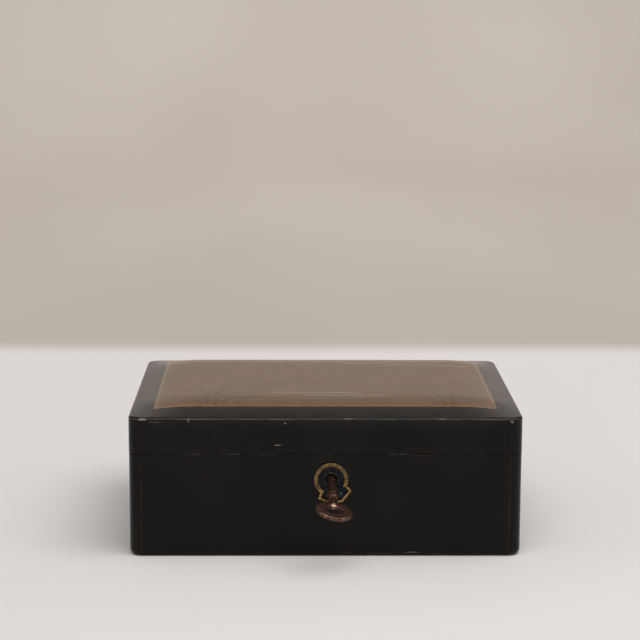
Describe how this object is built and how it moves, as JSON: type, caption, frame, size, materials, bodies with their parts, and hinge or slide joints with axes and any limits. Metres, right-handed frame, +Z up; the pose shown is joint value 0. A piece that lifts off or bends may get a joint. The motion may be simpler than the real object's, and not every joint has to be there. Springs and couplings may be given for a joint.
{
  "type": "japanese suzuri ink box",
  "caption": "Lacquered wooden writing box with a pillowed hinged lid, a box lock with its key, and a lift-out tray with inkstone, water dropper, ink stick and brushes.",
  "frame": {"origin": "middle of the box's underside, on the surface it stands on", "axes": "+Z up, the keyhole front faces -Y, the hinges are at +Y, +X to the viewer's right"},
  "size_m": [0.3, 0.2817, 0.1162],
  "materials": {
    "black_lacquer": "satin black lacquer over wood, worn at the edges",
    "painted_lacquer": "black lacquer border, gold line and worn brown painted field",
    "inner_lacquer": "satin dark brown lacquer over wood",
    "brass": "aged brass",
    "spring_steel": "dull steel",
    "pin_steel": "darkened steel",
    "escutcheon_brass": "worn cast brass",
    "dark_brass": "blackened brass",
    "key_copper": "worn reddish patina",
    "slate": "matt grey-black stone",
    "dropper_metal": "aged copper alloy",
    "ink": "dry ink, satin",
    "bamboo": "dry bamboo",
    "hair": "animal hair"
  },
  "bodies": {
    "box": {"base_board": "black_lacquer", "left_side_board": "black_lacquer", "right_side_board": "black_lacquer", "front_board": "black_lacquer", "back_board": "black_lacquer", "left_tray_ledge": "inner_lacquer", "right_tray_ledge": "inner_lacquer", "left_hinge_body_leaf": "brass", "right_hinge_body_leaf": "brass", "left_hinge_pin": "brass", "right_hinge_pin": "brass", "hinge_body_screws": "brass", "lock_case": "brass", "lock_back_plate": "brass", "lock_screws": "brass", "bolt_posts": "brass", "bolt_spring": "spring_steel", "escutcheon_rim": "escutcheon_brass", "escutcheon_plate": "dark_brass", "escutcheon_pins": "pin_steel"},
    "lid": {"lid_panel": "painted_lacquer", "lid_front_rail": "black_lacquer", "lid_back_rail": "black_lacquer", "lid_left_rail": "black_lacquer", "lid_right_rail": "black_lacquer", "left_hinge_lid_leaf": "brass", "right_hinge_lid_leaf": "brass", "hinge_lid_screws": "brass", "link_plate": "brass", "link_plate_screws": "brass"},
    "lock_bolt": {"lock_bolt": "brass"},
    "key": {"key": "key_copper"},
    "tray": {"tray_floor": "inner_lacquer", "tray_front_wall": "inner_lacquer", "tray_back_wall": "inner_lacquer", "tray_left_wall": "inner_lacquer", "tray_right_wall": "inner_lacquer", "tray_dividers": "inner_lacquer", "ink_stick": "ink", "brush_handles": "bamboo", "brush_hair": "hair"},
    "inkstone": {"inkstone": "slate"},
    "water_dropper": {"dropper_case": "dropper_metal", "dropper_top": "dropper_metal"}
  },
  "joints": [
    {"name": "lid_hinge", "type": "hinge", "parent": "box", "child": "lid", "pos_m": [0, 0.1154, 0.07975], "axis": [-1, 0, 0], "range_deg": [0, 100]},
    {"name": "key_turn", "type": "hinge", "parent": "box", "child": "key", "pos_m": [0.0042, -0.1124, 0.06037], "axis": [-0.0331, 0.9477, 0.3173], "range_deg": [-102, 78]},
    {"name": "bolt_slide", "type": "slide", "parent": "box", "child": "lock_bolt", "axis": [1, 0, 0], "range_m": [-0.00523, 0.004]},
    {"name": "tray_lift", "type": "slide", "parent": "box", "child": "tray", "axis": [0, 0, 1], "range_m": [0, 0.022]},
    {"name": "inkstone_lift", "type": "slide", "parent": "tray", "child": "inkstone", "axis": [0, 0, 1], "range_m": [0, 0.015]},
    {"name": "dropper_lift", "type": "slide", "parent": "tray", "child": "water_dropper", "axis": [0, 0, 1], "range_m": [0, 0.01]}
  ],
  "couplings": [
    {"joint": "bolt_slide", "follows": "key_turn", "m_per_rad": 0.0029382}
  ]
}
